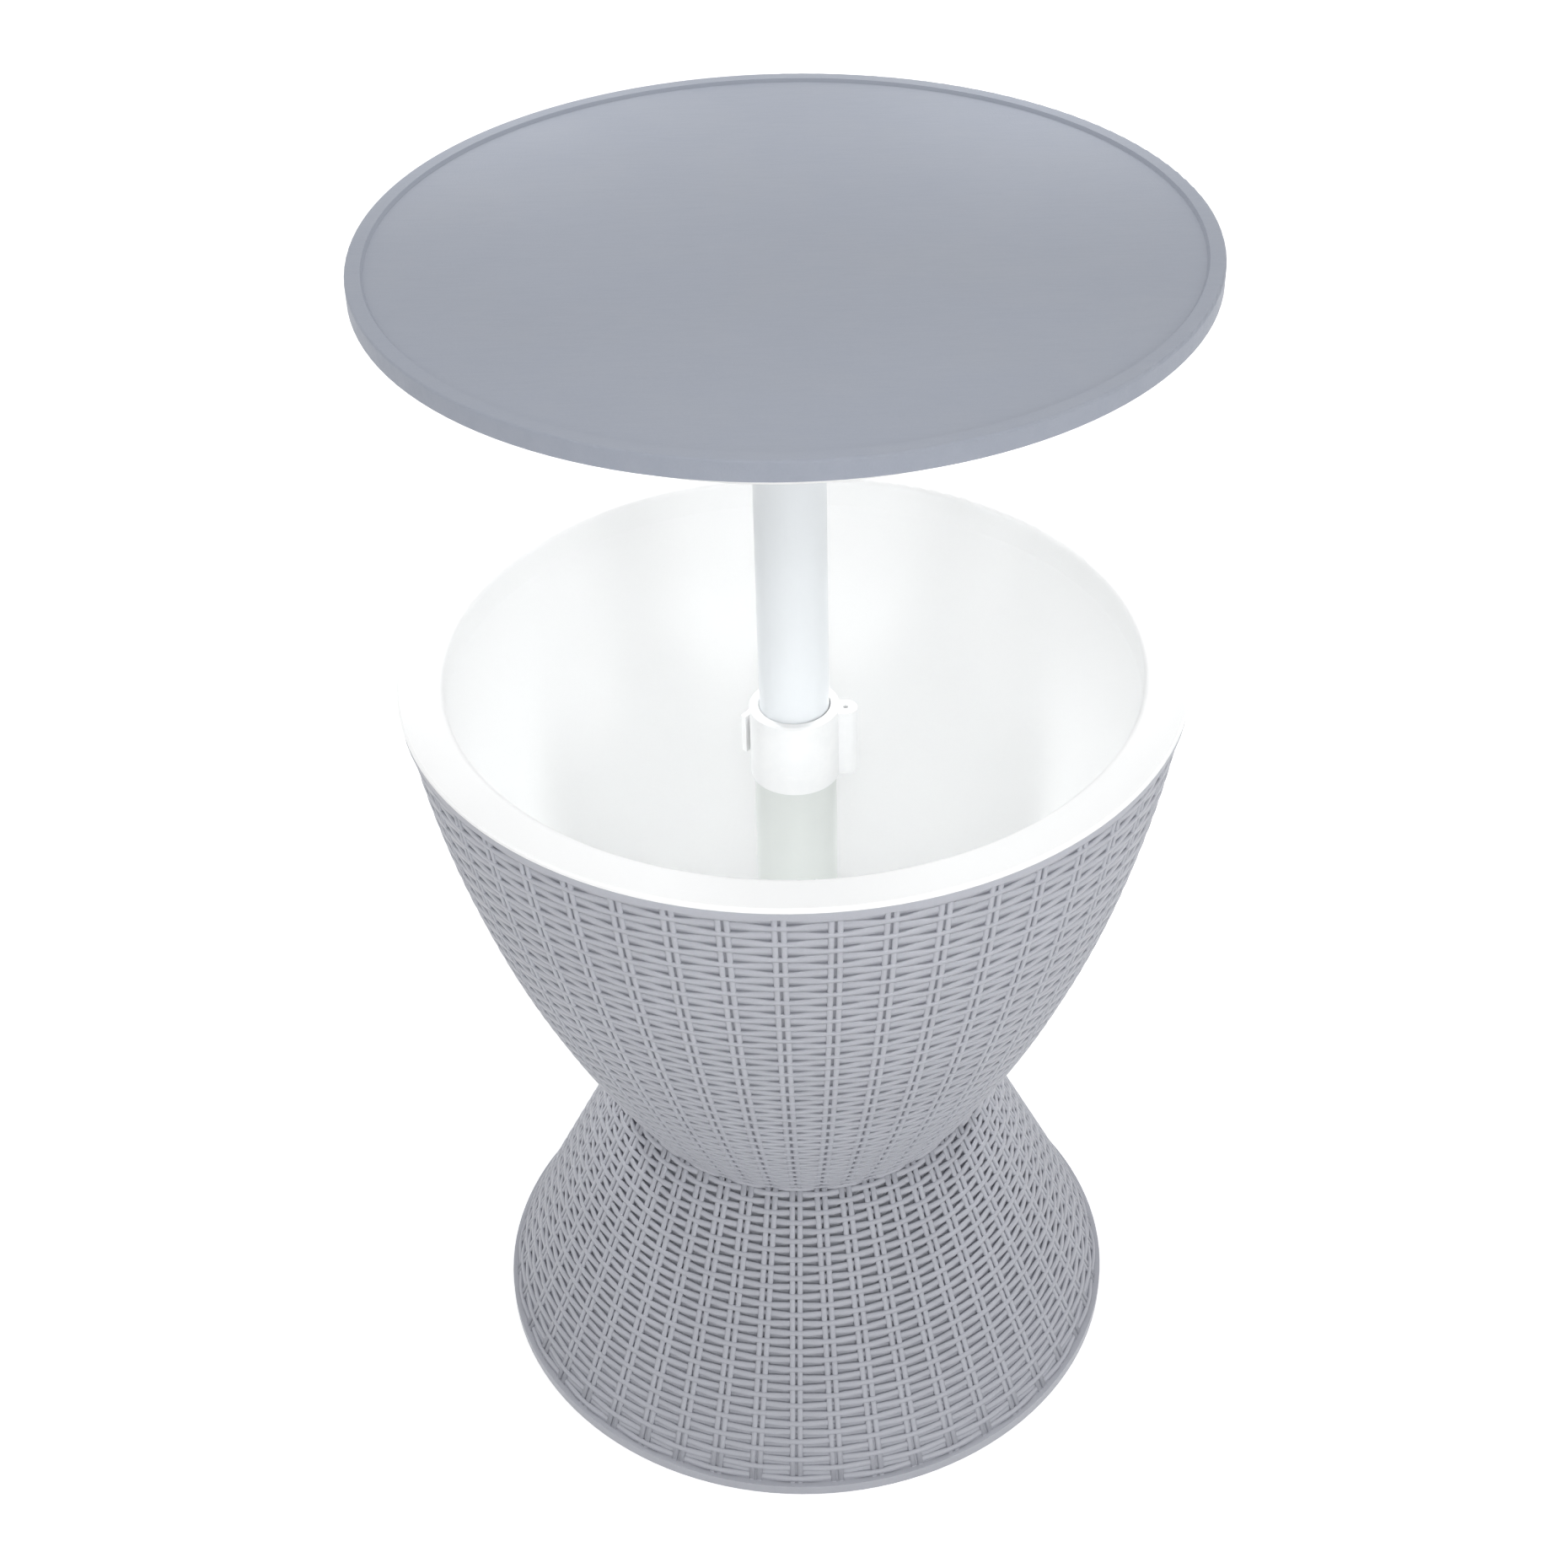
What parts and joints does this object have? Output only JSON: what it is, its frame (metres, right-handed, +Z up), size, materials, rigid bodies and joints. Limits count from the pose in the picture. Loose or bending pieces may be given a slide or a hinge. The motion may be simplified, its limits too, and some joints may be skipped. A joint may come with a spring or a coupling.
{
  "type": "patio cooler table",
  "caption": "Round patio side table with a wicker-look bowl and flared base, a white ice bucket inside, and a tray top that lifts on a telescoping pole.",
  "frame": {"origin": "centre of the base at floor level, on the pole's axis", "axes": "+Z up along the pole; the front faces -Y; the lug of the lock collar points to +X"},
  "size_m": [0.5, 0.4998, 0.838],
  "materials": {
    "gray_top": "satin gray moulded plastic",
    "gray_wicker": "gray moulded plastic with a woven relief",
    "white_plastic": "satin white moulded plastic",
    "white_tube": "smooth off-white extruded plastic",
    "dark_plastic": "dark moulded plastic",
    "seal_rubber": "black rubber",
    "stopper_rubber": "gray rubber",
    "steel": "zinc-plated steel"
  },
  "bodies": {
    "stand": {"base_cone": "gray_wicker", "bowl_shell": "gray_wicker", "liner_bucket": "white_plastic", "lower_tube": "white_tube", "lower_tube_cap": "dark_plastic", "floor_seal": "seal_rubber", "pole_nut": "dark_plastic", "lock_collar": "white_plastic", "lever_pin": "steel", "waist_screws": "steel", "drain_spout": "white_plastic", "drain_seal": "seal_rubber", "drain_nut": "dark_plastic"},
    "slider": {"guide_bush": "dark_plastic"},
    "top": {"tabletop": "gray_top", "lid_underside": "white_plastic", "lid_hub": "white_plastic", "hub_screws": "steel", "rim_screws": "steel", "hub_bolt": "steel", "hub_bolt_nut": "steel", "upper_tube": "white_tube", "upper_tube_cap": "dark_plastic", "retaining_ring": "steel"},
    "lever": {"lock_lever": "white_plastic"},
    "shoe": {"clamp_shoe": "dark_plastic"},
    "stopper": {"drain_stopper": "stopper_rubber"}
  },
  "joints": [
    {"name": "lid_lift", "type": "slide", "parent": "stand", "child": "slider", "axis": [0, 0, 1], "range_m": [-0.2717, 0]},
    {"name": "lid_turn", "type": "hinge", "parent": "slider", "child": "top", "pos_m": [0, 0, 0.45], "axis": [0, 0, 1], "continuous": true},
    {"name": "lever_open", "type": "hinge", "parent": "stand", "child": "lever", "pos_m": [0.033, 0, 0.489], "axis": [0, 0, -1], "range_deg": [0, 90]},
    {"name": "shoe_release", "type": "slide", "parent": "stand", "child": "shoe", "axis": [1, 0, 0], "range_m": [0, 0.0005]},
    {"name": "stopper_pull", "type": "slide", "parent": "stand", "child": "stopper", "axis": [0, 0, 1], "range_m": [0, 0.06]}
  ],
  "couplings": [
    {"joint": "shoe_release", "follows": "lever_open", "m_per_rad": 0.000318}
  ]
}
